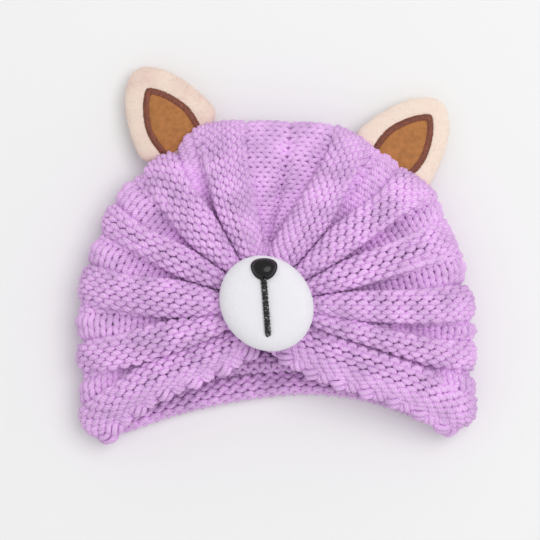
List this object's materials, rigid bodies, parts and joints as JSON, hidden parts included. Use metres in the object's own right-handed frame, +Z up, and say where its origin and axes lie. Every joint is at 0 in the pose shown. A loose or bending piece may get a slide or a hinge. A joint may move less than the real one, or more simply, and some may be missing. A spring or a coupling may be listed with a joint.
{
  "type": "knitted baby turban with ears",
  "caption": "Chunky-knit baby turban with ribs gathered under a padded muzzle with a nose and stitched mouth, and stuffed plush ears, lying on its back and open at the hem.",
  "frame": {"origin": "bottom centre of the whole turban as it lies on its back", "axes": "+Z up from the surface, +Y from the hem towards the crown and ears, +X to the right seen from above with the crown away"},
  "size_m": [0.19, 0.177, 0.0557],
  "materials": {
    "lilac_yarn": "chunky acrylic knit, reverse stockinette ribs and stockinette grooves",
    "white_plush": "short smooth plush",
    "cream_plush": "short napped plush",
    "ochre_cloth": "short brushed cloth",
    "brown_thread": "satin stitch",
    "black_plastic": "high gloss",
    "black_thread": "twisted cord"
  },
  "bodies": {
    "root": {"knit_cap": "lilac_yarn", "hem_edging": "lilac_yarn", "muzzle": "white_plush", "nose": "black_plastic", "mouth_cord": "black_thread", "ear_left_plush": "cream_plush", "ear_left_patch": "ochre_cloth", "ear_left_border": "brown_thread", "ear_right_plush": "cream_plush", "ear_right_patch": "ochre_cloth", "ear_right_border": "brown_thread"}
  },
  "joints": []
}
